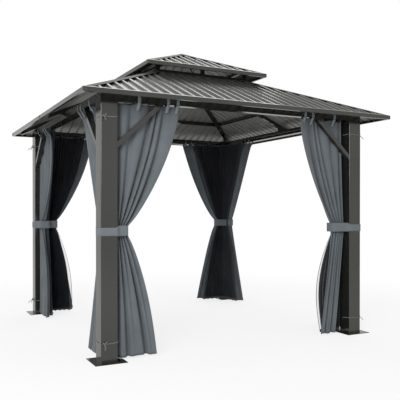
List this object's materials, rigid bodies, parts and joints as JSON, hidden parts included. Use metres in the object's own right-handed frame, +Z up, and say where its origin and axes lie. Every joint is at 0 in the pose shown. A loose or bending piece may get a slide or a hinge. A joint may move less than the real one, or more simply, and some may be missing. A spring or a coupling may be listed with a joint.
{
  "type": "garden gazebo",
  "caption": "Square metal garden gazebo with a stepped, vented hip roof of ribbed sheets, tube posts on bolted base plates, and curtains with netting tied back at the corners.",
  "frame": {"origin": "on the ground under the peak of the roof", "axes": "+Z up, -Y towards the front side, +X to the right of someone facing the front side from outside"},
  "size_m": [3.0036, 3.0036, 2.861],
  "materials": {
    "frame_paint": "semi-gloss",
    "plate_paint": "semi-gloss",
    "roof_paint": "semi-gloss",
    "curtain_fabric": "matte woven polyester",
    "net_fabric": "open mesh"
  },
  "bodies": {
    "root": {"post_front_left": "frame_paint", "post_front_right": "frame_paint", "post_back_right": "frame_paint", "post_back_left": "frame_paint", "base_plates": "plate_paint", "beam_front": "frame_paint", "beam_right": "frame_paint", "beam_back": "frame_paint", "beam_left": "frame_paint", "knee_braces": "frame_paint", "rafter_seats": "frame_paint", "hip_rafters": "frame_paint", "mid_rafters": "frame_paint", "purlins": "frame_paint", "roof_curb": "frame_paint", "lantern_stubs": "frame_paint", "lantern_ring": "frame_paint", "upper_rafters": "frame_paint", "lower_sheet_front": "roof_paint", "lower_sheet_right": "roof_paint", "lower_sheet_back": "roof_paint", "lower_sheet_left": "roof_paint", "upper_sheet_front": "roof_paint", "upper_sheet_right": "roof_paint", "upper_sheet_back": "roof_paint", "upper_sheet_left": "roof_paint", "lower_hip_caps": "roof_paint", "upper_hip_caps": "roof_paint", "peak_cap": "roof_paint", "lower_eave_trims": "frame_paint", "upper_eave_trims": "frame_paint", "eave_corners": "frame_paint", "eave_joints": "frame_paint", "net_rails": "frame_paint", "curtain_loops": "curtain_fabric", "curtain_front_left": "curtain_fabric", "curtain_front_right": "curtain_fabric", "curtain_back_right": "curtain_fabric", "curtain_back_left": "curtain_fabric", "net_front_left": "net_fabric", "net_front_right": "net_fabric", "net_back_right": "net_fabric", "net_back_left": "net_fabric", "tie_bands": "curtain_fabric", "tie_strings": "curtain_fabric"}
  },
  "joints": []
}
